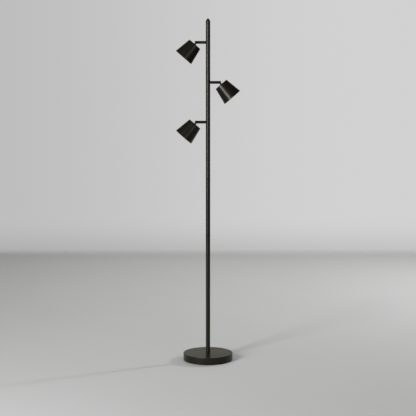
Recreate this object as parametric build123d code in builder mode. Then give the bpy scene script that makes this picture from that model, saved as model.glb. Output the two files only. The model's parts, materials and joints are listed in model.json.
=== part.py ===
"""Tree floor lamp: a weighted round base, a three-section pole and three spotlights on short arms.

Frame: millimetres, +Z up, origin on the floor at the pole's axis. The arms lie along X.
Each spotlight turns about its arm on a knuckle and tilts about a screw through that knuckle.
"""

from build123d import *

import os
from math import cos, hypot, radians, sin, sqrt

# ---- driving dimensions ---------------------------------------------------------------------
lamp_height = 1721.0
pole_diameter = 22.0
pole_wall = 1.2
lower_section_count = 2

base_diameter = 250.0
base_height = 36.5
cover_wall = 1.5
cover_edge_radius = 2.0
cover_lift = 1.5

arm_diameter = 14.0
top_arm_drop = 118.5
height_between_arms = 197.0
seam_below_arms = 64.0
pivot_reach = 57.0
knuckle_nose = 8.0
tilt_at_rest = 41.0

shade_back_diameter = 71.0
shade_mouth_diameter = 101.0
shade_length = 86.0
shade_wall = 1.2
shade_edge_radius = 1.8

# name, side of the pole (+1 is +X), place in the ladder of arms counted from the lowest
HEADS = (("lower", -1, 0), ("middle", 1, 1), ("upper", -1, 2))

# ---- fits -----------------------------------------------------------------------------------
thread_gap = 0.05
running_gap = 0.05
press_gap = 0.04
seat_gap = 0.05
joint_gap = 0.2

# ---- base -----------------------------------------------------------------------------------
pad_thickness = 2.0
pad_inset = 7.0
pad_hole_gap = 1.0
plate_thickness = 1.2
plate_screw_circle_radius = 80.0
plate_screw_count = 3
plate_screw_diameter = 4.0
plate_screw_length = 9.0
plate_screw_head_diameter = 7.5
plate_screw_head_height = 1.7
plate_screw_socket = 2.5
plate_socket_depth = 1.2
boss_diameter = 16.0
weight_gap = 0.5
weight_edge_chamfer = 3.0
ring_pocket_inner = 56.0
ring_pocket_outer = 104.0
ring_pocket_depth = 10.0
centre_pocket_radius = 48.0
centre_pocket_depth = 18.5
cord_channel_width = 18.0
cord_channel_depth = 17.0

nipple_diameter = 13.0
nipple_bore = 9.5
nipple_engagement = 18.0
nipple_end_overhang = 1.3
flat_washer_diameter = 34.0
flat_washer_thickness = 2.0
lock_washer_diameter = 21.0
lock_washer_thickness = 2.2
lock_washer_split = 1.6
base_nut_flats = 19.0
base_nut_thickness = 7.0

grommet_height = 12.0
grommet_bore = 7.2
grommet_neck_diameter = 10.8
grommet_flange_diameter = 14.0
grommet_flange_thickness = 1.5

block_width = 22.0
block_depth = 15.0
block_height = 17.0
block_distance = 24.0
block_edge_radius = 1.2
block_wire_hole = 3.4
block_hole_distance = 9.0

# ---- pole joints and cap --------------------------------------------------------------------
insert_length = 20.0
stud_body_length = 20.0
tube_edge_chamfer = 0.3
cap_height = 15.0
cap_overhang = 0.4
cap_band_height = 1.8
cap_tip_radius = 2.2
cap_spigot_length = 14.0
cap_spigot_wall = 2.0

# ---- arms and swivel ------------------------------------------------------------------------
arm_thread_diameter = 10.0
arm_thread_end = 3.6
arm_wire_bore = 6.5
arm_edge_chamfer = 0.4
saddle_washer_diameter = 13.0
saddle_washer_face = 6.8
arm_nut_flats = 13.0
arm_nut_thickness = 2.6
spigot_diameter = 9.0
spigot_length = 14.0
spigot_end_gap = 1.0
knuckle_web = 4.2
knuckle_edge_chamfer = 0.8
knuckle_bore = 5.0
knuckle_slot_width = 5.0
knuckle_roof = 1.4
eye_clearance = 0.6
swivel_limit = 150.0
groove_depth = 1.2
set_screw_diameter = 3.0
set_screw_point = 2.0
set_screw_setback = 6.0
set_screw_sunk = 0.4
set_screw_socket = 1.5
set_screw_socket_depth = 1.2
point_gap = 0.1

# ---- tilt joint -----------------------------------------------------------------------------
tilt_screw_diameter = 3.0
tilt_head_diameter = 5.6
tilt_head_height = 2.0
tilt_head_socket = 2.0
tilt_socket_depth = 1.2
tilt_nut_flats = 5.5
tilt_nut_thickness = 2.0
tilt_screw_past_nut = 0.3
cheek_seat = 1.7
eye_diameter = 10.0
eye_thickness = 4.0
tongue_width = 8.0
washer_diameter = 9.0
washer_gap = 0.02
wire_groove_width = 2.4
wire_groove_depth = 2.0
wire_hole_length = 3.4
wire_hole_depth = 3.3
swing_clearance = 0.4
stem_flange_diameter = 16.0
stem_flange_thickness = 1.3
stem_thread_diameter = 10.0
stem_thread_length = 9.0
stem_bore = 6.0

# ---- inside each shade ----------------------------------------------------------------------
bracket_thickness = 1.0
bracket_width = 14.0
bracket_span = 34.0
bracket_height = 11.5
bracket_corner_radius = 2.0
bracket_tab_gap = 10.0
stem_nut_flats = 14.0
stem_nut_thickness = 4.0
holder_diameter = 27.0
holder_length = 18.0
holder_edge_chamfer = 0.8
holder_screw_distance = 18.0
holder_screw_diameter = 3.0
holder_screw_head = 5.4
holder_screw_head_height = 2.0
holder_counterbore_depth = 4.0
pin_distance = 10.0
pin_head_diameter = 5.0
pin_head_length = 2.0
pin_neck_diameter = 3.0
pin_length = 7.0
pin_socket_gap = 0.5
bulb_gap = 0.3
bulb_neck_diameter = 27.0
bulb_neck_length = 6.0
bulb_rim_diameter = 50.0
bulb_rim_length = 9.0
bulb_length = 47.0
lens_diameter = 46.0
lens_thickness = 1.6
lens_crown = 0.9

# ---- inner lead -----------------------------------------------------------------------------
lead_diameter = 3.6
branch_diameter = 3.0
lead_bend_radius = 5.0
lead_block_gap = 0.1
branch_rise = 14.0

# ---- sizes that follow ----------------------------------------------------------------------
pole_radius = pole_diameter / 2
tube_radius = pole_radius - pole_wall
base_radius = base_diameter / 2
pole_foot = base_height
pole_top = lamp_height - cap_height
lowest_arm_height = lamp_height - top_arm_drop - height_between_arms * (len(HEADS) - 1)
arms_foot = lowest_arm_height - seam_below_arms
lower_section_length = (arms_foot - pole_foot) / lower_section_count
section_feet = [pole_foot + lower_section_length * i for i in range(lower_section_count)] + [arms_foot]
section_tops = section_feet[1:] + [pole_top]

plate_bottom = pad_thickness
weight_bottom = plate_bottom + plate_thickness
weight_top = base_height - cover_wall
weight_radius = base_radius - cover_wall - weight_gap
pocket_ceiling = weight_bottom + centre_pocket_depth
flat_washer_bottom = pocket_ceiling - flat_washer_thickness
lock_washer_bottom = flat_washer_bottom - lock_washer_thickness
base_nut_bottom = lock_washer_bottom - base_nut_thickness
nipple_bottom = base_nut_bottom - nipple_end_overhang
nipple_radius = nipple_diameter / 2
block_bottom = pocket_ceiling - block_height
lead_level = block_bottom + lead_diameter / 2 + lead_block_gap

arm_radius = arm_diameter / 2
slot_floor = pivot_reach - eye_diameter / 2 - eye_clearance
knuckle_start = slot_floor - knuckle_web
arm_end = knuckle_start - joint_gap
spigot_end = knuckle_start - spigot_length
arm_socket_end = spigot_end - spigot_end_gap
knuckle_end = pivot_reach + knuckle_nose
set_screw_reach = arm_end - set_screw_setback
groove_radius = spigot_diameter / 2 - groove_depth
slot_half = knuckle_slot_width / 2
cheek_face = slot_half + cheek_seat

flange_start = hypot(knuckle_nose, arm_radius) + swing_clearance
shade_back = flange_start + stem_flange_thickness
shade_mouth = shade_back + shade_length
bracket_base = shade_back + shade_wall
bracket_top = bracket_base + bracket_height
stem_nut_base = bracket_base + bracket_thickness
holder_face = bracket_top + holder_length
holder_screw_seat = holder_face - holder_counterbore_depth
bulb_base = holder_face + bulb_gap
bulb_face = bulb_base + bulb_length


def save(piece, name):
    """Labels a finished piece and writes it as its own file."""
    piece.label = name
    export_step(piece, f"parts/{name}.step")


def arm_height(step):
    """Height of an arm's axis above the floor."""
    return lowest_arm_height + height_between_arms * step


def across_arm(side, height, reach):
    """Plane across an arm at a distance from the pole's axis, facing outwards, local x up."""
    return Plane(origin=(side * reach, 0, height), x_dir=(0, 0, 1), z_dir=(side, 0, 0))


def along_arm(side, height):
    """Upright plane through the tilt screw: local x runs out along the arm, local y runs up."""
    return Plane(origin=(side * pivot_reach, 0, height), x_dir=(side, 0, 0), z_dir=(0, -side, 0))


def head_direction(side):
    """Direction in which a spotlight shines at rest."""
    tilt = radians(tilt_at_rest)
    return Vector(side * sin(tilt), 0, -cos(tilt))


def along_head(side, height):
    """Upright plane through the tilt screw: local x runs along the spotlight to its mouth."""
    pivot = (side * pivot_reach, 0, height)
    return Plane(origin=pivot, x_dir=head_direction(side), z_dir=(0, -side, 0))


def across_head(side, height, distance):
    """Plane across a spotlight at a distance from its tilt screw, facing the mouth."""
    outward = along_head(side, height).y_dir
    pivot = Vector(side * pivot_reach, 0, height)
    shining = head_direction(side)
    return Plane(origin=pivot + shining * distance, x_dir=outward, z_dir=shining)


def head_axis(side, height):
    """Axis of a spotlight, from its tilt screw to its mouth."""
    return Axis((side * pivot_reach, 0, height), head_direction(side))


os.makedirs("parts", exist_ok=True)

# =============================================================================================
# Base: a spun steel cover over a cast iron weight, closed below by a plate and a foam pad
# =============================================================================================
grommet_plane = Plane(origin=(0, base_radius, grommet_height), x_dir=(1, 0, 0), z_dir=(0, 1, 0))

with BuildPart() as base_cover:
    with BuildSketch(Plane.XY.offset(cover_lift)):
        Circle(base_radius)
    extrude(amount=base_height - cover_lift)
    fillet(base_cover.edges().group_by(Axis.Z)[-1], cover_edge_radius)
    offset(amount=-cover_wall, openings=base_cover.faces().sort_by(Axis.Z)[0])
    with BuildSketch(Plane.XY.offset(base_height)):
        Circle(nipple_radius + seat_gap)
    extrude(amount=-2 * cover_wall, mode=Mode.SUBTRACT)
    with BuildSketch(grommet_plane):
        Circle(grommet_neck_diameter / 2 + seat_gap)
    extrude(amount=-3 * cover_wall, mode=Mode.SUBTRACT)
save(base_cover.part, "base_cover")

with BuildPart() as base_weight:
    with BuildSketch(Plane.XY.offset(weight_bottom)):
        Circle(weight_radius)
    extrude(amount=weight_top - weight_bottom)
    chamfer(base_weight.edges().group_by(Axis.Z)[-1], weight_edge_chamfer)
    with BuildSketch(Plane.XY.offset(weight_bottom)):
        Circle(ring_pocket_outer)
        Circle(ring_pocket_inner, mode=Mode.SUBTRACT)
        with PolarLocations(plate_screw_circle_radius, plate_screw_count, start_angle=-90):
            Circle(boss_diameter / 2, mode=Mode.SUBTRACT)
    extrude(amount=ring_pocket_depth, mode=Mode.SUBTRACT)
    with BuildSketch(Plane.XY.offset(weight_bottom)):
        Circle(centre_pocket_radius)
    extrude(amount=centre_pocket_depth, mode=Mode.SUBTRACT)
    with BuildSketch(Plane.XY.offset(weight_bottom)):
        with Locations((0, base_radius / 2)):
            Rectangle(cord_channel_width, base_radius)
    extrude(amount=cord_channel_depth, mode=Mode.SUBTRACT)
    with BuildSketch(Plane.XY.offset(weight_bottom)):
        Circle(nipple_radius + seat_gap)
    extrude(amount=weight_top - weight_bottom, mode=Mode.SUBTRACT)
    with BuildSketch(Plane.XY.offset(weight_bottom)):
        with PolarLocations(plate_screw_circle_radius, plate_screw_count, start_angle=-90):
            Circle(plate_screw_diameter / 2 + thread_gap)
    extrude(amount=plate_screw_length, mode=Mode.SUBTRACT)
save(base_weight.part, "base_weight")

with BuildPart() as base_bottom_plate:
    with BuildSketch(Plane.XY.offset(plate_bottom)):
        Circle(weight_radius)
        with PolarLocations(plate_screw_circle_radius, plate_screw_count, start_angle=-90):
            Circle(plate_screw_diameter / 2 + joint_gap, mode=Mode.SUBTRACT)
    extrude(amount=plate_thickness)
save(base_bottom_plate.part, "base_bottom_plate")

with BuildPart() as bottom_plate_screws:
    with BuildSketch(Plane.XY.offset(plate_bottom)):
        with PolarLocations(plate_screw_circle_radius, plate_screw_count, start_angle=-90):
            Circle(plate_screw_diameter / 2)
    extrude(amount=plate_screw_length)
    with BuildSketch(Plane.XY.offset(plate_bottom)):
        with PolarLocations(plate_screw_circle_radius, plate_screw_count, start_angle=-90):
            Circle(plate_screw_head_diameter / 2)
    extrude(amount=-plate_screw_head_height)
    with BuildSketch(Plane.XY.offset(plate_bottom - plate_screw_head_height)):
        with PolarLocations(plate_screw_circle_radius, plate_screw_count, start_angle=-90):
            RegularPolygon(plate_screw_socket / 2, 6, major_radius=False)
    extrude(amount=plate_socket_depth, mode=Mode.SUBTRACT)
save(bottom_plate_screws.part, "bottom_plate_screws")

with BuildPart() as base_pad:
    with BuildSketch(Plane.XY):
        Circle(base_radius - pad_inset)
        with PolarLocations(plate_screw_circle_radius, plate_screw_count, start_angle=-90):
            Circle(plate_screw_head_diameter / 2 + pad_hole_gap, mode=Mode.SUBTRACT)
    extrude(amount=pad_thickness)
save(base_pad.part, "base_pad")

with BuildPart() as base_nipple:
    with BuildSketch(Plane.XY.offset(nipple_bottom)):
        Circle(nipple_radius)
        Circle(nipple_bore / 2, mode=Mode.SUBTRACT)
    extrude(amount=pole_foot + nipple_engagement - nipple_bottom)
save(base_nipple.part, "base_nipple")

with BuildPart() as base_flat_washer:
    with BuildSketch(Plane.XY.offset(flat_washer_bottom)):
        Circle(flat_washer_diameter / 2)
        Circle(nipple_radius + joint_gap, mode=Mode.SUBTRACT)
    extrude(amount=flat_washer_thickness)
save(base_flat_washer.part, "base_flat_washer")

with BuildPart() as base_lock_washer:
    with BuildSketch(Plane.XY.offset(lock_washer_bottom)):
        Circle(lock_washer_diameter / 2)
        Circle(nipple_radius + joint_gap, mode=Mode.SUBTRACT)
        with Locations((lock_washer_diameter / 2, 0)):
            Rectangle(lock_washer_diameter / 2, lock_washer_split, mode=Mode.SUBTRACT)
    extrude(amount=lock_washer_thickness)
save(base_lock_washer.part, "base_lock_washer")

with BuildPart() as base_nut:
    with BuildSketch(Plane.XY.offset(base_nut_bottom)):
        RegularPolygon(base_nut_flats / 2, 6, major_radius=False)
        Circle(nipple_radius + thread_gap, mode=Mode.SUBTRACT)
    extrude(amount=base_nut_thickness)
save(base_nut.part, "base_nut")

# The grommet snaps into the cover's rear hole and lines the way for the mains lead.
cover_inner_face = sqrt((base_radius - cover_wall) ** 2 - (grommet_flange_diameter / 2) ** 2)

with BuildPart() as cable_grommet:
    with BuildSketch(grommet_plane):
        Circle(grommet_flange_diameter / 2)
    extrude(amount=grommet_flange_thickness)
    with BuildSketch(grommet_plane):
        Circle(grommet_neck_diameter / 2)
    extrude(amount=cover_inner_face - base_radius)
    with BuildSketch(grommet_plane.offset(cover_inner_face - base_radius)):
        Circle(grommet_flange_diameter / 2)
    extrude(amount=-grommet_flange_thickness)
    with BuildSketch(grommet_plane.offset(grommet_flange_thickness)):
        Circle(grommet_bore / 2)
    extrude(amount=-(2 * grommet_flange_thickness + base_radius - cover_inner_face), mode=Mode.SUBTRACT)
save(cable_grommet.part, "cable_grommet")

with BuildPart() as terminal_block:
    with BuildSketch(Plane.XY.offset(block_bottom)):
        with Locations((0, block_distance + block_depth / 2)):
            RectangleRounded(block_width, block_depth, block_edge_radius)
    extrude(amount=block_height)
    rear_face = Plane(
        origin=(0, block_distance + block_depth, block_bottom + block_height / 2), z_dir=(0, 1, 0)
    )
    with BuildSketch(rear_face):
        with GridLocations(block_hole_distance, 0, 2, 1):
            Circle(block_wire_hole / 2)
    extrude(amount=-block_depth / 2, mode=Mode.SUBTRACT)
save(terminal_block.part, "terminal_block")

# =============================================================================================
# Pole: tubes that screw together on studs, with a thread insert in the foot of each
# =============================================================================================


for name, foot, top in zip(("lower_pole", "middle_pole", "upper_pole"), section_feet, section_tops):
    with BuildPart() as tube:
        with BuildSketch(Plane.XY.offset(foot)):
            Circle(pole_radius)
            Circle(tube_radius, mode=Mode.SUBTRACT)
        extrude(amount=top - foot)
        rims = tube.edges().filter_by(GeomType.CIRCLE)
        chamfer(rims.filter_by(lambda rim: rim.radius > tube_radius), tube_edge_chamfer)
        for _, side, step in HEADS:
            if foot < arm_height(step) < top:
                with BuildSketch(across_arm(side, arm_height(step), 0)):
                    Circle(arm_thread_diameter / 2 + seat_gap)
                extrude(amount=pole_diameter, mode=Mode.SUBTRACT)
    save(tube.part, name)

with BuildPart() as pole_thread_inserts:
    for foot in section_feet:
        with BuildSketch(Plane.XY.offset(foot + joint_gap)):
            Circle(tube_radius - press_gap)
            Circle(nipple_radius + thread_gap, mode=Mode.SUBTRACT)
        extrude(amount=insert_length)
save(pole_thread_inserts.part, "pole_thread_inserts")

with BuildPart() as pole_coupler_studs:
    for seam in section_feet[1:]:
        with BuildSketch(Plane.XY.offset(seam)):
            Circle(tube_radius - press_gap)
        extrude(amount=-stud_body_length)
        with BuildSketch(Plane.XY.offset(seam)):
            Circle(nipple_radius)
        extrude(amount=nipple_engagement)
        with BuildSketch(Plane.XY.offset(seam - stud_body_length)):
            Circle(nipple_bore / 2)
        extrude(amount=stud_body_length + nipple_engagement, mode=Mode.SUBTRACT)
save(pole_coupler_studs.part, "pole_coupler_studs")

cap_radius = pole_radius + cap_overhang
cap_spigot_radius = tube_radius - press_gap

with BuildPart() as pole_cap:
    with BuildSketch(Plane.XZ):
        with BuildLine():
            Polyline(
                (0, lamp_height + cap_tip_radius),
                (cap_radius, pole_top + cap_band_height),
                (cap_radius, pole_top),
                (cap_spigot_radius, pole_top),
                (cap_spigot_radius, pole_top - cap_spigot_length),
                (cap_spigot_radius - cap_spigot_wall, pole_top - cap_spigot_length),
                (cap_spigot_radius - cap_spigot_wall, pole_top),
                (0, pole_top),
                close=True,
            )
        make_face()
    revolve(axis=Axis.Z)
    with BuildSketch(Plane.XY.offset(lamp_height)):
        Circle(pole_radius)
    extrude(amount=cap_height, mode=Mode.SUBTRACT)
    fillet(pole_cap.edges().filter_by(GeomType.CIRCLE).sort_by(Axis.Z)[-1], cap_tip_radius)
save(pole_cap.part, "pole_cap")

# =============================================================================================
# Arms: turned hollow rods screwed through the pole's wall against a saddle washer and a nut
# =============================================================================================
for name, side, step in HEADS:
    height = arm_height(step)
    with BuildPart() as arm:
        with BuildSketch(across_arm(side, height, 0)):
            Circle(arm_radius)
        extrude(amount=arm_end)
        chamfer(arm.edges().sort_by(Axis((0, 0, height), (side, 0, 0)))[-1], arm_edge_chamfer)
        with BuildSketch(Plane.XY.offset(height)):
            Circle(pole_radius + seat_gap)
        extrude(amount=arm_diameter, both=True, mode=Mode.SUBTRACT)
        with BuildSketch(across_arm(side, height, arm_thread_end)):
            Circle(arm_thread_diameter / 2)
        extrude(amount=pole_diameter - arm_thread_end)
        with BuildSketch(across_arm(side, height, 0)):
            Circle(arm_wire_bore / 2)
        extrude(amount=arm_end, mode=Mode.SUBTRACT)
        with BuildSketch(across_arm(side, height, arm_socket_end)):
            Circle(spigot_diameter / 2 + running_gap)
        extrude(amount=arm_end - arm_socket_end, mode=Mode.SUBTRACT)
        with BuildSketch(Plane.XY.offset(height)):
            with Locations((side * set_screw_reach, 0)):
                Circle(set_screw_diameter / 2 + thread_gap)
        extrude(amount=-arm_diameter, mode=Mode.SUBTRACT)
    save(arm.part, f"{name}_arm")

with BuildPart() as arm_saddle_washers:
    for _, side, step in HEADS:
        with BuildSketch(across_arm(side, arm_height(step), saddle_washer_face)):
            Circle(saddle_washer_diameter / 2)
            Circle(arm_thread_diameter / 2 + thread_gap, mode=Mode.SUBTRACT)
        extrude(amount=pole_radius - saddle_washer_face)
        with BuildSketch(Plane.XY.offset(arm_height(step) - saddle_washer_diameter)):
            Circle(pole_diameter)
            Circle(tube_radius - seat_gap, mode=Mode.SUBTRACT)
        extrude(amount=2 * saddle_washer_diameter, mode=Mode.SUBTRACT)
save(arm_saddle_washers.part, "arm_saddle_washers")

with BuildPart() as arm_nuts:
    for _, side, step in HEADS:
        with BuildSketch(across_arm(side, arm_height(step), saddle_washer_face)):
            RegularPolygon(arm_nut_flats / 2, 6, major_radius=False)
            Circle(arm_thread_diameter / 2 + thread_gap, mode=Mode.SUBTRACT)
        extrude(amount=-arm_nut_thickness)
save(arm_nuts.part, "arm_nuts")

# Each set screw's point runs in the knuckle's groove: it holds the knuckle in and stops its turn.
with BuildPart() as swivel_set_screws:
    for _, side, step in HEADS:
        screw_place = (side * set_screw_reach, 0)
        screw_outer_end = arm_height(step) - arm_radius + set_screw_sunk
        point_end = arm_height(step) - groove_radius - point_gap
        thread_end = arm_height(step) - spigot_diameter / 2 - point_gap
        with BuildSketch(Plane.XY.offset(screw_outer_end)):
            with Locations(screw_place):
                Circle(set_screw_diameter / 2)
        extrude(amount=thread_end - screw_outer_end)
        with BuildSketch(Plane.XY.offset(thread_end)):
            with Locations(screw_place):
                Circle(set_screw_point / 2)
        extrude(amount=point_end - thread_end)
        with BuildSketch(Plane.XY.offset(screw_outer_end)):
            with Locations(screw_place):
                RegularPolygon(set_screw_socket / 2, 6, major_radius=False)
        extrude(amount=set_screw_socket_depth, mode=Mode.SUBTRACT)
save(swivel_set_screws.part, "swivel_set_screws")

# One lead climbs from the terminal block through the nipple, with a branch into every arm.
highest_arm = max(arm_height(step) for _, _, step in HEADS)

with BuildPart() as supply_lead:
    with BuildLine() as riser:
        FilletPolyline(
            (0, block_distance, lead_level),
            (0, 0, lead_level),
            (0, 0, highest_arm - branch_rise),
            radius=lead_bend_radius,
        )
    with BuildSketch(Plane(origin=riser.line @ 0, z_dir=riser.line % 0)):
        Circle(lead_diameter / 2)
    sweep()
    for _, side, step in HEADS:
        with BuildLine() as branch:
            FilletPolyline(
                (0, 0, arm_height(step) - branch_rise),
                (0, 0, arm_height(step)),
                (side * arm_socket_end, 0, arm_height(step)),
                radius=lead_bend_radius,
            )
        with BuildSketch(Plane(origin=branch.line @ 0, z_dir=branch.line % 0)):
            Circle(branch_diameter / 2)
        sweep()
save(supply_lead.part, "supply_lead")

# =============================================================================================
# Swivel and tilt joint: a slotted knuckle turns in the arm, and the spotlight's stem tilts in it
# =============================================================================================
point_clearance = set_screw_point / 2 + point_gap
stop_turn = radians(180 - swivel_limit)
stop_width = 2 * (groove_radius * sin(stop_turn) - point_clearance * cos(stop_turn))
slot_height = arm_radius - knuckle_roof

for name, side, step in HEADS:
    height = arm_height(step)
    arm_axis = Axis((0, 0, height), (side, 0, 0))
    upright = along_arm(side, height)

    with BuildPart() as knuckle:
        with BuildSketch(across_arm(side, height, knuckle_start)):
            Circle(arm_radius)
        extrude(amount=knuckle_end - knuckle_start)
        chamfer(knuckle.edges().sort_by(arm_axis)[-1], knuckle_edge_chamfer)
        with BuildSketch(across_arm(side, height, spigot_end)):
            Circle(spigot_diameter / 2)
        extrude(amount=spigot_length)
        chamfer(knuckle.edges().sort_by(arm_axis)[0], arm_edge_chamfer)
        # the groove for the set screw's point leaves a stop at the top, opposite the screw
        with BuildSketch(across_arm(side, height, set_screw_reach - point_clearance)):
            Circle(arm_radius)
            Circle(groove_radius, mode=Mode.SUBTRACT)
            Rectangle(arm_radius, stop_width, align=(Align.MIN, Align.CENTER), mode=Mode.SUBTRACT)
        extrude(amount=2 * point_clearance, mode=Mode.SUBTRACT)
        # wire way through the spigot, and the slot for the stem, open below and at the nose
        with BuildSketch(across_arm(side, height, 0)):
            Circle(knuckle_bore / 2)
        extrude(amount=slot_floor, mode=Mode.SUBTRACT)
        with BuildSketch(upright):
            with Locations((slot_floor - pivot_reach, slot_height)):
                Rectangle(pivot_reach, pivot_reach, align=(Align.MIN, Align.MAX))
        extrude(amount=slot_half, both=True, mode=Mode.SUBTRACT)
        # screw hole, with a round seat for the head and a hexagonal one for the nut
        with BuildSketch(upright):
            Circle(tilt_screw_diameter / 2 + seat_gap)
        extrude(amount=arm_diameter, both=True, mode=Mode.SUBTRACT)
        with BuildSketch(upright.offset(-cheek_face)):
            Circle((tilt_head_diameter + joint_gap) / 2)
        extrude(amount=-arm_diameter, mode=Mode.SUBTRACT)
        with BuildSketch(upright.offset(cheek_face)):
            RegularPolygon((tilt_nut_flats + joint_gap) / 2, 6, major_radius=False)
        extrude(amount=arm_diameter, mode=Mode.SUBTRACT)
    save(knuckle.part, f"{name}_knuckle")

    with BuildPart() as tilt_screw:
        with BuildSketch(upright.offset(-cheek_face)):
            Circle(tilt_screw_diameter / 2)
        extrude(amount=2 * cheek_face + tilt_nut_thickness + tilt_screw_past_nut)
        with BuildSketch(upright.offset(-cheek_face)):
            Circle(tilt_head_diameter / 2)
        extrude(amount=-tilt_head_height)
        with BuildSketch(upright.offset(-cheek_face - tilt_head_height)):
            RegularPolygon(tilt_head_socket / 2, 6, major_radius=False)
        extrude(amount=tilt_socket_depth, mode=Mode.SUBTRACT)
    save(tilt_screw.part, f"{name}_tilt_screw")

    with BuildPart() as tilt_nut:
        with BuildSketch(upright.offset(cheek_face)):
            RegularPolygon(tilt_nut_flats / 2, 6, major_radius=False)
            Circle(tilt_screw_diameter / 2 + thread_gap, mode=Mode.SUBTRACT)
        extrude(amount=tilt_nut_thickness)
    save(tilt_nut.part, f"{name}_tilt_nut")

    with BuildPart() as stem:
        with BuildSketch(along_head(side, height)):
            Circle(eye_diameter / 2)
            Rectangle(flange_start, tongue_width, align=(Align.MIN, Align.CENTER))
        extrude(amount=eye_thickness / 2, both=True)
        with BuildSketch(across_head(side, height, flange_start)):
            Circle(stem_flange_diameter / 2)
        extrude(amount=stem_flange_thickness)
        with BuildSketch(across_head(side, height, shade_back)):
            Circle(stem_thread_diameter / 2)
        extrude(amount=stem_thread_length)
        with BuildSketch(across_head(side, height, shade_back)):
            Circle(stem_bore / 2)
        extrude(amount=stem_thread_length, mode=Mode.SUBTRACT)
        # wire way: round the eye, down the tongue's inner edge and through the flange
        with BuildSketch(along_head(side, height)):
            Circle(eye_diameter)
            Circle(eye_diameter / 2 - wire_groove_depth, mode=Mode.SUBTRACT)
            Rectangle(eye_diameter, eye_diameter, align=(Align.MIN, Align.MIN), mode=Mode.SUBTRACT)
            Rectangle(eye_diameter, eye_diameter, align=(Align.MIN, Align.MAX), mode=Mode.SUBTRACT)
            with Locations((0, wire_groove_depth - eye_diameter / 2)):
                Rectangle(flange_start, eye_diameter, align=(Align.MIN, Align.MAX))
        extrude(amount=wire_groove_width / 2, both=True, mode=Mode.SUBTRACT)
        with BuildSketch(across_head(side, height, flange_start)):
            with Locations((-tongue_width / 2, 0)):
                Rectangle(wire_hole_length, wire_groove_width, align=(Align.MIN, Align.CENTER))
        extrude(amount=wire_hole_depth, mode=Mode.SUBTRACT)
        with BuildSketch(along_head(side, height)):
            Circle(tilt_screw_diameter / 2 + running_gap)
        extrude(amount=eye_thickness, both=True, mode=Mode.SUBTRACT)
    save(stem.part, f"{name}_stem")

    with BuildPart() as tilt_washers:
        for face in (1, -1):
            with BuildSketch(along_head(side, height).offset(face * eye_thickness / 2)):
                Circle(washer_diameter / 2)
                Circle(tilt_screw_diameter / 2 + running_gap, mode=Mode.SUBTRACT)
            extrude(amount=face * (slot_half - eye_thickness / 2 - washer_gap))
    save(tilt_washers.part, f"{name}_tilt_washers")

    # -----------------------------------------------------------------------------------------
    # Spotlight: a spun cone with a lampholder on a bracket and a reflector lamp
    # -----------------------------------------------------------------------------------------
    with BuildPart() as shade:
        with BuildSketch(along_head(side, height)):
            with BuildLine():
                Polyline(
                    (shade_back, 0),
                    (shade_back, shade_back_diameter / 2),
                    (shade_mouth, shade_mouth_diameter / 2),
                    (shade_mouth, 0),
                    close=True,
                )
            make_face()
        revolve(axis=head_axis(side, height))
        fillet(shade.edges().sort_by(head_axis(side, height))[0], shade_edge_radius)
        offset(amount=-shade_wall, openings=shade.faces().sort_by(head_axis(side, height))[-1])
        with BuildSketch(across_head(side, height, shade_back)):
            Circle(stem_thread_diameter / 2 + seat_gap)
        extrude(amount=2 * shade_wall, mode=Mode.SUBTRACT)
    save(shade.part, f"{name}_shade")

    with BuildPart() as holder_bracket:
        with BuildSketch(along_head(side, height)):
            with Locations(((bracket_base + bracket_top) / 2, 0)):
                RectangleRounded(bracket_height, bracket_span, bracket_corner_radius)
                RectangleRounded(
                    bracket_height - 2 * bracket_thickness,
                    bracket_span - 2 * bracket_thickness,
                    bracket_corner_radius - bracket_thickness,
                    mode=Mode.SUBTRACT,
                )
            with Locations((bracket_top, 0)):
                Rectangle(bracket_height, bracket_tab_gap, mode=Mode.SUBTRACT)
        extrude(amount=bracket_width / 2, both=True)
        with BuildSketch(across_head(side, height, bracket_base)):
            Circle(stem_thread_diameter / 2 + seat_gap)
        extrude(amount=2 * bracket_thickness, mode=Mode.SUBTRACT)
        with BuildSketch(across_head(side, height, bracket_top)):
            with GridLocations(holder_screw_distance, 0, 2, 1):
                Circle(holder_screw_diameter / 2 + thread_gap)
        extrude(amount=-2 * bracket_thickness, mode=Mode.SUBTRACT)
    save(holder_bracket.part, f"{name}_holder_bracket")

    with BuildPart() as stem_nut:
        with BuildSketch(across_head(side, height, stem_nut_base)):
            RegularPolygon(stem_nut_flats / 2, 6, major_radius=False)
            Circle(stem_thread_diameter / 2 + thread_gap, mode=Mode.SUBTRACT)
        extrude(amount=stem_nut_thickness)
    save(stem_nut.part, f"{name}_stem_nut")

    with BuildPart() as lampholder:
        with BuildSketch(across_head(side, height, bracket_top)):
            Circle(holder_diameter / 2)
        extrude(amount=holder_length)
        chamfer(lampholder.edges().filter_by(GeomType.CIRCLE), holder_edge_chamfer)
        with BuildSketch(across_head(side, height, holder_face)):
            with GridLocations(0, pin_distance, 1, 2):
                Circle(pin_head_diameter / 2 + pin_socket_gap)
        extrude(amount=-pin_length - pin_socket_gap, mode=Mode.SUBTRACT)
        with BuildSketch(across_head(side, height, holder_face)):
            with GridLocations(holder_screw_distance, 0, 2, 1):
                Circle((holder_screw_head + joint_gap) / 2)
        extrude(amount=-holder_counterbore_depth, mode=Mode.SUBTRACT)
        with BuildSketch(across_head(side, height, holder_face)):
            with GridLocations(holder_screw_distance, 0, 2, 1):
                Circle(holder_screw_diameter / 2 + joint_gap)
        extrude(amount=-holder_length, mode=Mode.SUBTRACT)
    save(lampholder.part, f"{name}_lampholder")

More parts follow.
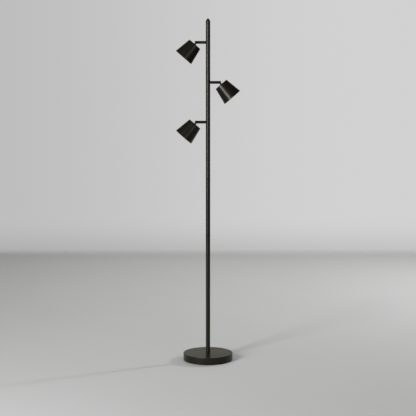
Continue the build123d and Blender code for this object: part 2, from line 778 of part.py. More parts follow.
    with BuildPart() as holder_screws:
        with BuildSketch(across_head(side, height, holder_screw_seat)):
            with GridLocations(holder_screw_distance, 0, 2, 1):
                Circle(holder_screw_head / 2)
        extrude(amount=holder_screw_head_height)
        chamfer(holder_screws.edges().group_by(head_axis(side, height))[-1], holder_screw_head_height / 3)
        with BuildSketch(across_head(side, height, holder_screw_seat)):
            with GridLocations(holder_screw_distance, 0, 2, 1):
                Circle(holder_screw_diameter / 2)
        extrude(amount=bracket_top - 2 * bracket_thickness - holder_screw_seat)
    save(holder_screws.part, f"{name}_holder_screws")

    with BuildPart() as bulb_body:
        neck_end = bulb_base + bulb_neck_length
        rim_start = bulb_face - bulb_rim_length
        with BuildSketch(along_head(side, height)):
            with BuildLine():
                Polyline(
                    (rim_start, bulb_rim_diameter / 2),
                    (bulb_face, bulb_rim_diameter / 2),
                    (bulb_face, 0),
                    (bulb_base, 0),
                    (bulb_base, bulb_neck_diameter / 2),
                    (neck_end, bulb_neck_diameter / 2),
                )
                Spline(
                    (neck_end, bulb_neck_diameter / 2),
                    (rim_start, bulb_rim_diameter / 2),
                    tangents=((1, 1), (1, 0)),
                )
            make_face()
        revolve(axis=head_axis(side, height))
        with BuildSketch(across_head(side, height, bulb_face)):
            Circle(lens_diameter / 2 + seat_gap)
        extrude(amount=-lens_thickness, mode=Mode.SUBTRACT)
        with BuildSketch(across_head(side, height, bulb_base)):
            with GridLocations(0, pin_distance, 1, 2):
                Circle(pin_neck_diameter / 2)
        extrude(amount=-pin_length)
        with BuildSketch(across_head(side, height, bulb_base - pin_length)):
            with GridLocations(0, pin_distance, 1, 2):
                Circle(pin_head_diameter / 2)
        extrude(amount=pin_head_length)
    save(bulb_body.part, f"{name}_bulb_body")

    with BuildPart() as bulb_lens:
        lens_seat = bulb_face - lens_thickness
        with BuildSketch(along_head(side, height)):
            with BuildLine():
                crown_radius = ((lens_diameter / 2) ** 2 + lens_crown**2) / (2 * lens_crown)
                RadiusArc((bulb_face + lens_crown, 0), (bulb_face, lens_diameter / 2), -crown_radius)
                Polyline(
                    (bulb_face, lens_diameter / 2),
                    (lens_seat, lens_diameter / 2),
                    (lens_seat, 0),
                    (bulb_face + lens_crown, 0),
                )
            make_face()
        revolve(axis=head_axis(side, height))
    save(bulb_lens.part, f"{name}_bulb_lens")
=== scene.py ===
import json
from math import atan2, cos, pi, radians, sin, tan

import bmesh
import bpy
from mathutils import Matrix, Vector


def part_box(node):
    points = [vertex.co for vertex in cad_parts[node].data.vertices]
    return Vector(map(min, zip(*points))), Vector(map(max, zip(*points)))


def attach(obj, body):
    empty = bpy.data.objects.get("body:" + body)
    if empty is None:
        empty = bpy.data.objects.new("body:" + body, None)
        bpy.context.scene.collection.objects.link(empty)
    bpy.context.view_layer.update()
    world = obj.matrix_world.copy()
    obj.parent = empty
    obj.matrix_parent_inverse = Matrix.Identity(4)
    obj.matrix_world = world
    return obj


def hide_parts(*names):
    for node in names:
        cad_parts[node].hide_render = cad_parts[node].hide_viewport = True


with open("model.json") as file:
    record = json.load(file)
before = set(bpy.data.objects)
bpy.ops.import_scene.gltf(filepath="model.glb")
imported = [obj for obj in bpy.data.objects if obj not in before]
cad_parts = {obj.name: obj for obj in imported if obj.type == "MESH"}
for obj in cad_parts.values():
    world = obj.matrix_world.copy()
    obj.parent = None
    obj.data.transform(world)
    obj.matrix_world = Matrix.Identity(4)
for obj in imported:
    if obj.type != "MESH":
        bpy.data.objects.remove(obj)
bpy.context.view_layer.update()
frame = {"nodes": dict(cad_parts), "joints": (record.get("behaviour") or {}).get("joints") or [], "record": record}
nodes = frame["nodes"]

# ---- Camera ---------------------------------------------------------------------------------
# A long lens five and a half metres in front of the lamp, at about a standing person's chest,
# looking slightly down. It holds the photograph's frame, so the pole stands upright in the
# middle.
camera_distance = 5.6
camera_height = 1.369
camera_pitch = radians(6.03)
focal_length = 96.84
farthest_seen = 100.0

camera = bpy.data.objects.new("camera", bpy.data.cameras.new("camera"))
camera.data.lens = focal_length
camera.data.clip_end = farthest_seen
camera.location = (0.0, -camera_distance, camera_height)
camera.rotation_euler = (pi / 2 - camera_pitch, 0.0, 0.0)
bpy.context.scene.collection.objects.link(camera)
bpy.context.scene.camera = camera
bpy.context.scene.view_settings.view_transform = "Standard"


# ---- Floor ----------------------------------------------------------------------------------
# A pale studio floor, matt painted, a little uneven from wear. At its edges it fades out into
# the backdrop, so that no hard edge shows from any side.
def linear(colour):
    """Turns an sRGB hex colour into the linear colour that shaders take."""
    shares = [int(colour[i : i + 2], 16) / 255 for i in (1, 3, 5)]
    return [s / 12.92 if s <= 0.04045 else ((s + 0.055) / 1.055) ** 2.4 for s in shares] + [1.0]


def add_node(tree, kind, inputs=None, **settings):
    """Adds a shader node. Each input is given a value, or another node's output to follow. A
    socket goes by its number where others share its name: a colour mix has its share in 0, its
    colours in 6 and 7 and its result in 2."""
    node = tree.nodes.new(kind)
    for setting, value in settings.items():
        setattr(node, setting, value)
    for socket, value in (inputs or {}).items():
        if isinstance(value, bpy.types.NodeSocket):
            tree.links.new(value, node.inputs[socket])
        else:
            node.inputs[socket].default_value = value
    return node


def new_object(name, shape):
    """Makes an object from a finished bmesh, smooth shaded."""
    mesh = bpy.data.meshes.new(name)
    shape.to_mesh(mesh)
    shape.free()
    mesh.shade_smooth()
    made = bpy.data.objects.new(name, mesh)
    bpy.context.scene.collection.objects.link(made)
    return made


floor_reach = 4.5
floor_parts = 8
floor_middle = 0.9
floor_narrowing = 1.3
fade_start = 2.65
fade_end = 3.1
mottle_size = 5 / 6

# Floor paint, rolled on: two close greys in clouds nearly a metre wide, and hardly any shine.
floor_paint = bpy.data.materials.new("matt_floor_paint")
floor_paint.use_nodes = True
tree = floor_paint.node_tree
place = add_node(tree, "ShaderNodeTexCoord").outputs["Object"]
spot = add_node(tree, "ShaderNodeSeparateXYZ", {"Vector": place})
beside = add_node(
    tree, "ShaderNodeMath", {0: spot.outputs["X"], 1: floor_narrowing}, operation="MULTIPLY"
)
behind = add_node(
    tree, "ShaderNodeMath", {0: spot.outputs["Y"], 1: floor_middle}, operation="SUBTRACT"
)
reach_x = add_node(tree, "ShaderNodeMath", {0: beside.outputs[0]}, operation="ABSOLUTE")
reach_y = add_node(tree, "ShaderNodeMath", {0: behind.outputs[0]}, operation="ABSOLUTE")
reach = add_node(
    tree, "ShaderNodeMath", {0: reach_x.outputs[0], 1: reach_y.outputs[0]}, operation="MAXIMUM"
)
mottle = add_node(
    tree, "ShaderNodeTexNoise", {"Vector": place, "Scale": 1 / mottle_size, "Detail": 2.0}
)
floor_tone = add_node(
    tree,
    "ShaderNodeMix",
    {0: mottle.outputs[0], 6: linear("#c2c3c3"), 7: linear("#c7c8c8")},
    data_type="RGBA",
)
floor_shader = tree.nodes["Principled BSDF"]
floor_shader.inputs["Roughness"].default_value = 0.9
floor_shader.inputs["Specular IOR Level"].default_value = 0.2
tree.links.new(floor_tone.outputs[2], floor_shader.inputs["Base Color"])
fading = add_node(
    tree,
    "ShaderNodeMapRange",
    {"Value": reach.outputs[0], "From Min": fade_start, "From Max": fade_end},
    interpolation_type="SMOOTHSTEP",
)
nothing = add_node(tree, "ShaderNodeBsdfTransparent")
floor_mix = add_node(
    tree,
    "ShaderNodeMixShader",
    {0: fading.outputs[0], 1: floor_shader.outputs[0], 2: nothing.outputs[0]},
)
tree.links.new(floor_mix.outputs[0], tree.nodes["Material Output"].inputs["Surface"])

shape = bmesh.new()
bmesh.ops.create_grid(shape, x_segments=floor_parts, y_segments=floor_parts, size=floor_reach)
floor = new_object("floor", shape)
floor.data.materials.append(floor_paint)

# ---- Backdrop and studio light --------------------------------------------------------------
# The backdrop is a pale grey wall of light, a little darker at the left and down at the floor:
# that darkening is painted shade. What lights the lamp is dimmer in front than behind and dimmer
# still low down, as in a studio with the room lights off.

# Where each change begins and ends, as a direction's share along X for left and right, Y for
# front and rear and Z for low and high, and how strong the light is at either end.
# The wall's left and low strengths are painted shade, darker where less light would fall.
wall_left = -0.22
wall_right = 0.13
wall_left_painted_shade = 0.845
wall_right_strength = 1.06
wall_low = -0.165
wall_high = -0.112
wall_low_painted_shade = 0.7
room_front = 0.72
room_rear = 0.96
room_front_strength = 0.07
room_rear_strength = 0.5
room_low = -0.03
room_high = 0.05
room_low_strength = 0.3

backdrop = bpy.data.worlds.new("studio_backdrop")
backdrop.use_nodes = True
bpy.context.scene.world = backdrop
tree = backdrop.node_tree
direction = add_node(tree, "ShaderNodeTexCoord").outputs["Generated"]
aim = add_node(tree, "ShaderNodeSeparateXYZ", {"Vector": direction})
wall_sideways = add_node(
    tree,
    "ShaderNodeMapRange",
    {
        "Value": aim.outputs["X"],
        "From Min": wall_left,
        "From Max": wall_right,
        "To Min": wall_left_painted_shade,
        "To Max": wall_right_strength,
    },
    interpolation_type="SMOOTHSTEP",
)
wall_upwards = add_node(
    tree,
    "ShaderNodeMapRange",
    {
        "Value": aim.outputs["Z"],
        "From Min": wall_low,
        "From Max": wall_high,
        "To Min": wall_low_painted_shade,
    },
    interpolation_type="SMOOTHSTEP",
)
wall_strength = add_node(
    tree,
    "ShaderNodeMath",
    {0: wall_sideways.outputs[0], 1: wall_upwards.outputs[0]},
    operation="MULTIPLY",
)
room_rearwards = add_node(
    tree,
    "ShaderNodeMapRange",
    {
        "Value": aim.outputs["Y"],
        "From Min": room_front,
        "From Max": room_rear,
        "To Min": room_front_strength,
        "To Max": room_rear_strength,
    },
    interpolation_type="SMOOTHSTEP",
)
room_upwards = add_node(
    tree,
    "ShaderNodeMapRange",
    {
        "Value": aim.outputs["Z"],
        "From Min": room_low,
        "From Max": room_high,
        "To Min": room_low_strength,
    },
    interpolation_type="SMOOTHSTEP",
)
room_strength = add_node(
    tree,
    "ShaderNodeMath",
    {0: room_rearwards.outputs[0], 1: room_upwards.outputs[0]},
    operation="MULTIPLY",
)
light_path = add_node(tree, "ShaderNodeLightPath")
seen = add_node(
    tree,
    "ShaderNodeMath",
    {0: light_path.outputs["Is Camera Ray"], 1: light_path.outputs["Is Transmission Ray"]},
    operation="MAXIMUM",
)
wall = add_node(
    tree,
    "ShaderNodeBackground",
    {"Color": linear("#cccccc"), "Strength": wall_strength.outputs[0]},
)
room = add_node(
    tree,
    "ShaderNodeBackground",
    {"Color": linear("#fffcec"), "Strength": room_strength.outputs[0]},
)
world_mix = add_node(
    tree, "ShaderNodeMixShader", {0: seen.outputs[0], 1: room.outputs[0], 2: wall.outputs[0]}
)
tree.links.new(world_mix.outputs[0], tree.nodes["World Output"].inputs["Surface"])


def add_softbox(name, spot, aimed_at, width, height, power, spread=180, mirrored=True):
    """Hangs a soft rectangular studio lamp that faces a point of the lamp or the floor."""
    box = bpy.data.lights.new(name, "AREA")
    box.shape = "RECTANGLE"
    box.size = width
    box.size_y = height
    box.energy = power
    box.spread = radians(spread)
    hung = bpy.data.objects.new(name, box)
    hung.location = spot
    hung.rotation_euler = (Vector(aimed_at) - Vector(spot)).to_track_quat("-Z", "Y").to_euler()
    hung.visible_glossy = mirrored
    bpy.context.scene.collection.objects.link(hung)


# A tall key softbox at the left front lights the floor and draws the line down the pole.
add_softbox(
    "key_softbox",
    spot=(-3.08, -3.94, 1.85),
    aimed_at=(0.0, 0.0, 0.9),
    width=1.0,
    height=2.6,
    power=325.0,
)

# A dim card at the right front draws a fainter line. Its narrow beam keeps off the floor near it.
add_softbox(
    "fill_card",
    spot=(2.3, -3.9, 1.65),
    aimed_at=(0.0, 0.0, 1.4),
    width=2.4,
    height=1.6,
    power=6.6,
    spread=90,
)

# A small hard lamp at the right rear throws the pole's long thin shadow to the left. It stays
# out of the gloss, and so do the two after it.
add_softbox(
    "rear_softbox",
    spot=(3.96, 2.12, 2.1),
    aimed_at=(0.0, 0.0, 0.5),
    width=0.3,
    height=0.3,
    power=100.0,
    mirrored=False,
)

# Two broad softboxes overhead face straight down and lift the floor behind the lamp.
add_softbox(
    "floor_softbox",
    spot=(0.35, 3.4, 2.8),
    aimed_at=(0.35, 3.4, 0.0),
    width=4.4,
    height=1.4,
    power=34.0,
    mirrored=False,
)
add_softbox(
    "top_softbox",
    spot=(0.6, 1.3, 2.7),
    aimed_at=(0.6, 1.3, 0.0),
    width=4.6,
    height=1.4,
    power=19.0,
    mirrored=False,
)

# ---- Base cover -----------------------------------------------------------------------------
# A disc spun from 1.5 mm mild steel over a former and powder coated: its rim is turned down with
# a small radius. It drops over the weight, and the foot of the pole clamps it at its centre.
mm = 0.001

# A noise pattern seldom leaves this range, so the polish changes over nearly all of it.
cloud_low = 0.3
cloud_high = 0.7


def surface(name, colours, tone_size, roughness, grain_size, grain_depth, kind="Noise"):
    """A finish with cloudy tone, uneven polish and a fine grain, each to a real size in metres.
    Gives the material and its shader, which holds what only that finish has."""
    darker, lighter = colours
    smoothest, roughest = roughness
    finish = bpy.data.materials.new(name)
    finish.use_nodes = True
    tree = finish.node_tree
    shader = tree.nodes["Principled BSDF"]
    place = add_node(tree, "ShaderNodeTexCoord").outputs["Object"]
    cloud = add_node(
        tree, "ShaderNodeTexNoise", {"Vector": place, "Scale": 1 / tone_size, "Detail": 3.0}
    )
    tone = add_node(
        tree,
        "ShaderNodeMix",
        {0: cloud.outputs[0], 6: linear(darker), 7: linear(lighter)},
        data_type="RGBA",
    )
    grain = add_node(tree, "ShaderNodeTex" + kind, {"Vector": place, "Scale": 1 / grain_size})
    polish = add_node(
        tree,
        "ShaderNodeMapRange",
        {
            "Value": cloud.outputs[0],
            "From Min": cloud_low,
            "From Max": cloud_high,
            "To Min": smoothest,
            "To Max": roughest,
        },
    )
    bump = add_node(
        tree,
        "ShaderNodeBump",
        {"Strength": 1.0, "Distance": grain_depth, "Height": grain.outputs[0]},
    )
    tree.links.new(tone.outputs[2], shader.inputs["Base Color"])
    tree.links.new(polish.outputs[0], shader.inputs["Roughness"])
    tree.links.new(bump.outputs[0], shader.inputs["Normal"])
    return finish, shader


# Polyester powder coat, sprayed dry and baked: an even warm black, and the faint orange peel of
# powder that flowed together, 2.5 mm from swell to swell. Its matting agent dulls the gloss.
powder_coat, shader = surface(
    "polyester_powder_coat",
    colours=("#12110e", "#181612"),
    tone_size=120 * mm,
    roughness=(0.29, 0.35),
    grain_size=2.5 * mm,
    grain_depth=0.03 * mm,
)
shader.inputs["Specular IOR Level"].default_value = 0.24
shader.inputs["Specular Tint"].default_value = linear("#fff8ec")


def body_of(name):
    """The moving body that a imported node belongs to."""
    bodies = frame["record"]["behaviour"]["bodies"]
    return next(body for body, held in bodies.items() if name in held)


def stand_in(piece, name, finish):
    """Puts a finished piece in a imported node's place, on its body and in its material slot."""
    piece.data.materials.append(finish)
    piece.modifiers.new("even_normals", "WEIGHTED_NORMAL").keep_sharp = True
    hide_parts(name)
    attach(piece, body_of(name))


# A round corner takes a step every 18 degrees, and points this close on a seam become one.
arc_step = radians(18)
fewest_arc_steps = 3
seam_distance = 0.0005 * mm


def rounded(corners):
    """Points of a closed outline from (across, along, radius) corners, round ones as arcs."""
    points = []
    for index, (across, along, radius) in enumerate(corners):
        corner = Vector((across, 0.0, along))
        if not radius:
            points.append(corner)
            continue
        last = corners[index - 1]
        following = corners[(index + 1) % len(corners)]
        back = (Vector((last[0], 0.0, last[1])) - corner).normalized()
        ahead = (Vector((following[0], 0.0, following[1])) - corner).normalized()
        half_angle = back.angle(ahead) / 2
        centre = corner + (back + ahead).normalized() * radius / sin(half_angle)
        first = (corner + back * radius / tan(half_angle) - centre).normalized()
        final = (corner + ahead * radius / tan(half_angle) - centre).normalized()
        steps = max(fewest_arc_steps, round((pi - 2 * half_angle) / arc_step))
        for step in range(steps + 1):
            points.append(centre + first.slerp(final, step / steps) * radius)
    return points


def turned(name, corners, place, steps, closed=True):
    """Spins an outline of (radius, height, edge radius) corners round the Z axis of a place. An
    outline that isn't closed starts and ends on that axis."""
    shape = bmesh.new()
    points = [shape.verts.new(point) for point in rounded(corners)]
    runs = [shape.edges.new(pair) for pair in zip(points, points[1:])]
    if closed:
        runs.append(shape.edges.new((points[-1], points[0])))
    bmesh.ops.spin(
        shape,
        geom=points + runs,
        axis=(0.0, 0.0, 1.0),
        cent=(0.0, 0.0, 0.0),
        angle=2 * pi,
        steps=steps,
        use_merge=True,
    )
    bmesh.ops.remove_doubles(shape, verts=shape.verts, dist=seam_distance)
    bmesh.ops.recalc_face_normals(shape, faces=shape.faces)
    bmesh.ops.transform(shape, matrix=place, verts=shape.verts)
    return new_object(name, shape)


def facing_back(distance, height):
    """A place in the lamp's middle plane, its Z axis pointing to the rear."""
    return Matrix.Translation((0.0, distance, height)) @ Matrix.Rotation(-pi / 2, 4, "X")


cover_low, cover_high = (Vector(corner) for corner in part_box("base_cover"))
cover_radius = cover_high.x
cover_wall = 1.5 * mm
cover_bend = 2.0 * mm
cover_inside = cover_radius - cover_wall
cover_ceiling = cover_high.z - cover_wall
nipple_hole_radius = 6.55 * mm
nipple_hole_round = 0.2 * mm
rim_round = 0.3 * mm
crease_angle = radians(40)
uncut_cover = turned(
    "base_cover_uncut",
    [
        (nipple_hole_radius, cover_high.z, nipple_hole_round),
        (cover_radius, cover_high.z, cover_bend),
        (cover_radius, cover_low.z, rim_round),
        (cover_inside, cover_low.z, rim_round),
        (cover_inside, cover_ceiling, cover_bend - cover_wall),
        (nipple_hole_radius, cover_ceiling, nipple_hole_round),
    ],
    place=Matrix(),
    steps=256,
)

# The hole for the mains lead, punched low in the rear of the rim.
cable_hole_radius = 5.45 * mm
cable_height = 12 * mm
punch_length = 6 * mm
punch = turned(
    "cable_hole_punch",
    [
        (0.0, -punch_length, 0.0),
        (cable_hole_radius, -punch_length, 0.0),
        (cable_hole_radius, punch_length, 0.0),
        (0.0, punch_length, 0.0),
    ],
    place=facing_back(cover_radius, cable_height),
    steps=48,
    closed=False,
)
punching = uncut_cover.modifiers.new("cable_hole", "BOOLEAN")
punching.object = punch
shape = bmesh.new()
shape.from_object(uncut_cover, bpy.context.evaluated_depsgraph_get())
bpy.data.objects.remove(uncut_cover)
bpy.data.objects.remove(punch)
cover = new_object("base_cover_spun", shape)
cover.data.set_sharp_from_angle(angle=crease_angle)
stand_in(cover, "base_cover", powder_coat)

# ---- Base weight ----------------------------------------------------------------------------
# A disc of grey iron cast in sand, left as it came from the mould but for its turned faces. It
# fills the cover and keeps the lamp from tipping when all its spotlights hang to one side.

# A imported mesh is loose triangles: points this close become one, edges flatter than the first
# angle go, and those sharper than the second are eased.
weld_distance = 0.001 * mm
flat_angle = radians(0.05)
corner_angle = radians(28)


def eased(name, width, finish):
    """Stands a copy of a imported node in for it, its sharp edges broken to a small round."""
    shape = bmesh.new()
    shape.from_mesh(nodes[name].data)
    bmesh.ops.remove_doubles(shape, verts=shape.verts, dist=weld_distance)
    bmesh.ops.dissolve_limit(
        shape, angle_limit=flat_angle, verts=shape.verts, edges=shape.edges
    )
    corners = [
        edge
        for edge in shape.edges
        if len(edge.link_faces) == 2 and edge.calc_face_angle() > corner_angle
    ]
    bmesh.ops.bevel(
        shape,
        geom=corners,
        offset=width,
        offset_type="OFFSET",
        segments=3,
        profile=0.5,
        affect="EDGES",
        clamp_overlap=True,
        material=-1,
    )
    stand_in(new_object(f"{name}_eased", shape), name, finish)


# Grey iron: dark, dull and pitted by the sand's grains, which are about 1 mm apart.
cast_iron, shader = surface(
    "sand_cast_grey_iron",
    colours=("#3f3f41", "#4d4b4a"),
    tone_size=25 * mm,
    roughness=(0.55, 0.75),
    grain_size=1.0 * mm,
    grain_depth=0.08 * mm,
)
shader.inputs["Metallic"].default_value = 1.0
eased("base_weight", 0.8 * mm, cast_iron)

# ---- Bottom plate, its screws and its pad ---------------------------------------------------
# A blanked disc of galvanised sheet closes the base. Three cap screws hold it to bosses of the
# weight, and a pad of pressed felt glued to it keeps the floor from being scratched.

# Galvanised sheet: zinc that froze into flat crystals about 8 mm wide, each with its own shine.
crystal_size = 8 * mm
galvanised, shader = surface(
    "hot_dip_galvanised_sheet",
    colours=("#a9acaf", "#b9bbbd"),
    tone_size=30 * mm,
    roughness=(0.3, 0.5),
    grain_size=crystal_size,
    grain_depth=0.01 * mm,
    kind="Voronoi",
)
shader.inputs["Metallic"].default_value = 1.0
tree = galvanised.node_tree
place = add_node(tree, "ShaderNodeTexCoord").outputs["Object"]
crystals = add_node(tree, "ShaderNodeTexVoronoi", {"Vector": place, "Scale": 1 / crystal_size})
crystal_shine = add_node(
    tree,
    "ShaderNodeMapRange",
    {"Value": crystals.outputs["Color"], "To Min": 0.28, "To Max": 0.55},
)
tree.links.new(crystal_shine.outputs[0], shader.inputs["Roughness"])
eased("base_bottom_plate", 0.15 * mm, galvanised)

# Zinc plate, clear passivated: bright, slightly blue, with faint drawing marks 0.6 mm apart.
zinc_plate, shader = surface(
    "clear_zinc_plated_steel",
    colours=("#b9bcc2", "#c6c8ca"),
    tone_size=8 * mm,
    roughness=(0.22, 0.34),
    grain_size=0.6 * mm,
    grain_depth=0.004 * mm,
)
shader.inputs["Metallic"].default_value = 1.0
eased("bottom_plate_screws", 0.15 * mm, zinc_plate)

# Pressed wool felt: matt charcoal fibres, drawn at 0.7 mm because real ones are too fine to show.
felt, shader = surface(
    "pressed_wool_felt",
    colours=("#38383a", "#4a4949"),
    tone_size=6 * mm,
    roughness=(0.9, 1.0),
    grain_size=0.7 * mm,
    grain_depth=0.25 * mm,
)
shader.inputs["Sheen Weight"].default_value = 0.35
shader.inputs["Sheen Roughness"].default_value = 0.5
eased("base_pad", 0.5 * mm, felt)

# ---- Threaded nipple, washers and nut -------------------------------------------------------
# A hollow steel nipple screws into the foot of the pole and comes down through cover and weight.
# A nut on a split lock washer and a flat washer pulls the three together from below.
eased("base_nipple", 0.3 * mm, zinc_plate)
eased("base_flat_washer", 0.2 * mm, zinc_plate)
eased("base_nut", 0.4 * mm, zinc_plate)

# Spring steel, oiled black: dark and smooth, a little lighter where the oil has dried.
black_oxide, shader = surface(
    "oiled_black_oxide_steel",
    colours=("#2b2b2e", "#37363a"),
    tone_size=4 * mm,
    roughness=(0.3, 0.42),
    grain_size=0.4 * mm,
    grain_depth=0.003 * mm,
)
shader.inputs["Metallic"].default_value = 1.0
eased("base_lock_washer", 0.2 * mm, black_oxide)

# ---- Cable grommet --------------------------------------------------------------------------
# A bush moulded from black nylon in two flanges and a neck. It snaps into the hole low in the
# rear of the cover, so that the sheet's edge can't cut the mains lead.

# Moulded black nylon: satin, with the fine spark-eroded grain of its mould, 0.4 mm apart.
black_nylon, shader = surface(
    "moulded_black_nylon",
    colours=("#19191a", "#202020"),
    tone_size=5 * mm,
    roughness=(0.38, 0.5),
    grain_size=0.4 * mm,
    grain_depth=0.008 * mm,
)
shader.inputs["IOR"].default_value = 1.53

grommet_low, grommet_high = (Vector(corner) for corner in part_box("cable_grommet"))
grommet_middle = (grommet_low + grommet_high) / 2
grommet_length = grommet_high.y - grommet_low.y
flange_radius = grommet_high.x
neck_radius = 5.4 * mm
bore_radius = 3.6 * mm
flange_wall = 1.5 * mm
flange_round = 0.3 * mm
front_bore_round = 0.5 * mm
rear_flange_round = 0.6 * mm
rear_bore_round = 0.8 * mm
grommet = turned(
    "cable_grommet_moulded",
    [
        (bore_radius, 0.0, front_bore_round),
        (flange_radius, 0.0, flange_round),
        (flange_radius, flange_wall, flange_round),
        (neck_radius, flange_wall, 0.0),
        (neck_radius, grommet_length - flange_wall, 0.0),
        (flange_radius, grommet_length - flange_wall, flange_round),
        (flange_radius, grommet_length, rear_flange_round),
        (bore_radius, grommet_length, rear_bore_round),
    ],
    place=facing_back(grommet_low.y, grommet_middle.z),
    steps=64,
)
stand_in(grommet, "cable_grommet", black_nylon)

# ---- Terminal block -------------------------------------------------------------------------
# A screw terminal in a case moulded from natural nylon, where mains lead and inner lead meet. It
# is fixed to the roof of the weight's pocket.

# Natural nylon: milky, with a soft shine and a hint of yellow.
natural_nylon, shader = surface(
    "moulded_natural_nylon",
    colours=("#e2dfd4", "#eae7dd"),
    tone_size=6 * mm,
    roughness=(0.35, 0.45),
    grain_size=0.5 * mm,
    grain_depth=0.006 * mm,
)
shader.inputs["Subsurface Weight"].default_value = 0.15
shader.inputs["Subsurface Radius"].default_value = (2 * mm, 2 * mm, 1.5 * mm)
eased("terminal_block", 0.3 * mm, natural_nylon)

# ---- Pole -----------------------------------------------------------------------------------
# Three lengths of welded steel tube, 22 mm outside with a 1.2 mm wall, cut square, deburred and
# powder coated. Each screws on to the stud of the one below, and the seams hardly show.
for section in ("lower_pole", "middle_pole", "upper_pole"):
    eased(section, 0.15 * mm, powder_coat)
eased("pole_thread_inserts", 0.3 * mm, zinc_plate)
eased("pole_coupler_studs", 0.3 * mm, zinc_plate)

# ---- Pole cap -------------------------------------------------------------------------------
# A pointed finial turned from bar and powder coated. Its spigot is a push fit in the top of the
# upper tube.
eased("pole_cap", 0.3 * mm, powder_coat)

# ---- Supply lead ----------------------------------------------------------------------------
# The lamp's own lead inside the pole, with a branch into each arm, in an extruded black sleeve.
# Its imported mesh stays, because the finished lamp hides it.

# Extruded sleeve: smooth PVC, faintly marked by the die every 0.8 mm.
sleeve, _ = surface(
    "extruded_pvc_sleeve",
    colours=("#1b1b1c", "#222223"),
    tone_size=20 * mm,
    roughness=(0.35, 0.45),
    grain_size=0.8 * mm,
    grain_depth=0.006 * mm,
)
nodes["supply_lead"].material_slots[0].material = sleeve

# ---- Arms and their fixings -----------------------------------------------------------------
# Short tubes of 14 mm, saddled to the pole's curve and powder coated. The thread at each inner
# end passes the pole's wall, where a saddle washer and a thin nut hold it from inside.
heads = ("lower", "middle", "upper")
for head in heads:
    eased(f"{head}_arm", 0.25 * mm, powder_coat)
eased("arm_saddle_washers", 0.2 * mm, zinc_plate)
eased("arm_nuts", 0.25 * mm, zinc_plate)
eased("swivel_set_screws", 0.15 * mm, black_oxide)

# ---- Knuckles -------------------------------------------------------------------------------
# Turned from steel bar, slotted for the stem and powder coated. The grooved spigot turns in the
# arm, where the set screw's point rides in the groove up to a stop. The stem tilts on a blacked
# screw with a nut, between two washers of nylon.
for head in heads:
    eased(f"{head}_knuckle", 0.3 * mm, powder_coat)
    eased(f"{head}_tilt_screw", 0.2 * mm, black_oxide)
    eased(f"{head}_tilt_nut", 0.2 * mm, black_oxide)
    eased(f"{head}_tilt_washers", 0.05 * mm, natural_nylon)

# ---- Stems ----------------------------------------------------------------------------------
# The tongue that tilts in the knuckle's slot, with a flange for the shade and a hollow thread.
# Turned and milled from steel bar, powder coated; the wires run down its inner edge.
for head in heads:
    eased(f"{head}_stem", 0.25 * mm, powder_coat)

# ---- Shades ---------------------------------------------------------------------------------
# Cones spun from 1.2 mm aluminium sheet, powder coated in and out. The back has a small radius
# where it was pressed on the former, and the mouth's edge is rounded over.

# Each cone is turned about a line that runs from its tilt screw out of its mouth.
tilt_at_rest = radians(41)
places = {}
for joint in frame["joints"]:
    if joint["name"].endswith("_spotlight_tilt"):
        side = -joint["axis"][1]
        turn = Matrix(
            (
                (side * cos(tilt_at_rest), 0.0, side * sin(tilt_at_rest)),
                (0.0, -side, 0.0),
                (sin(tilt_at_rest), 0.0, -cos(tilt_at_rest)),
            )
        )
        head = joint["name"].removesuffix("_spotlight_tilt")
        places[head] = Matrix.Translation(joint["pos_m"]) @ turn.to_4x4()

shade_back = 12.33 * mm
shade_depth = 86 * mm
shade_mouth = shade_back + shade_depth
back_radius = 35.5 * mm
mouth_radius = 50.5 * mm
shade_wall = 1.2 * mm
shade_bore_radius = 5.05 * mm
shade_bore_round = 0.15 * mm
back_bend = 1.8 * mm
inner_back_bend = 0.6 * mm
mouth_round = 0.5 * mm
slant = atan2(mouth_radius - back_radius, shade_depth)
inner_mouth = mouth_radius - shade_wall / cos(slant)
inner_back = back_radius - shade_wall / cos(slant) + shade_wall * tan(slant)
for head in heads:
    shade = turned(
        f"{head}_shade_spun",
        [
            (shade_bore_radius, shade_back, shade_bore_round),
            (back_radius, shade_back, back_bend),
            (mouth_radius, shade_mouth, mouth_round),
            (inner_mouth, shade_mouth, mouth_round),
            (inner_back, shade_back + shade_wall, inner_back_bend),
            (shade_bore_radius, shade_back + shade_wall, shade_bore_round),
        ],
        place=places[head],
        steps=160,
    )
    stand_in(shade, f"{head}_shade", powder_coat)

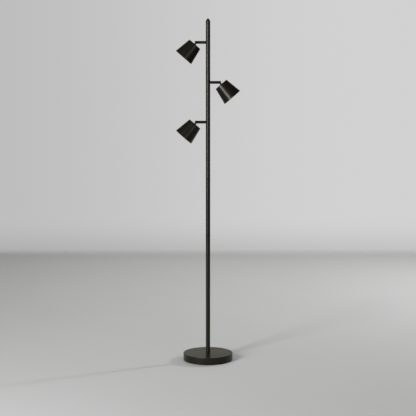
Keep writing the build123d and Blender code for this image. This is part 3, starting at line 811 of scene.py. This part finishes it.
# ---- Lampholder brackets --------------------------------------------------------------------
# A strip of 1 mm zinc-plated steel bent into an open box. The stem's nut clamps it in the back
# of the shade, and it carries the lampholder by two screws.
for head in heads:
    eased(f"{head}_holder_bracket", 0.15 * mm, zinc_plate)
    eased(f"{head}_stem_nut", 0.3 * mm, zinc_plate)
    eased(f"{head}_holder_screws", 0.2 * mm, zinc_plate)

# ---- Lampholders ----------------------------------------------------------------------------
# Twist-and-lock lampholders pressed from steatite and fired, with two sockets for the lamp's
# pins and two sunk screw holes.

# Steatite: an unglazed cream ceramic with darker specks and a dry, fine grain 0.5 mm apart.
steatite, _ = surface(
    "fired_steatite_ceramic",
    colours=("#ddd8ca", "#e8e4d8"),
    tone_size=3 * mm,
    roughness=(0.6, 0.75),
    grain_size=0.5 * mm,
    grain_depth=0.02 * mm,
)
for head in heads:
    eased(f"{head}_lampholder", 0.25 * mm, steatite)

# ---- Lamps ----------------------------------------------------------------------------------
# Reflector lamps with a twist-and-lock foot: a housing moulded in white plastic over its heat
# sink, and a frosted lens pressed into the rim. They are switched off.

# Lamp housing: white thermal plastic, satin, with the mould's grain 0.6 mm apart.
housing, _ = surface(
    "moulded_lamp_housing",
    colours=("#e2e2e0", "#ececea"),
    tone_size=10 * mm,
    roughness=(0.32, 0.42),
    grain_size=0.6 * mm,
    grain_depth=0.006 * mm,
)

# Frosted lens: polycarbonate with a soft haze, pebbled inside with a prism grain 1.6 mm wide.
lens_plastic, shader = surface(
    "frosted_lens_polycarbonate",
    colours=("#e6e5e0", "#efeeea"),
    tone_size=12 * mm,
    roughness=(0.3, 0.4),
    grain_size=1.6 * mm,
    grain_depth=0.05 * mm,
    kind="Voronoi",
)
shader.inputs["Subsurface Weight"].default_value = 0.3
shader.inputs["Subsurface Radius"].default_value = (1.5 * mm, 1.5 * mm, 1.5 * mm)
for head in heads:
    eased(f"{head}_bulb_body", 0.3 * mm, housing)
    eased(f"{head}_bulb_lens", 0.3 * mm, lens_plastic)
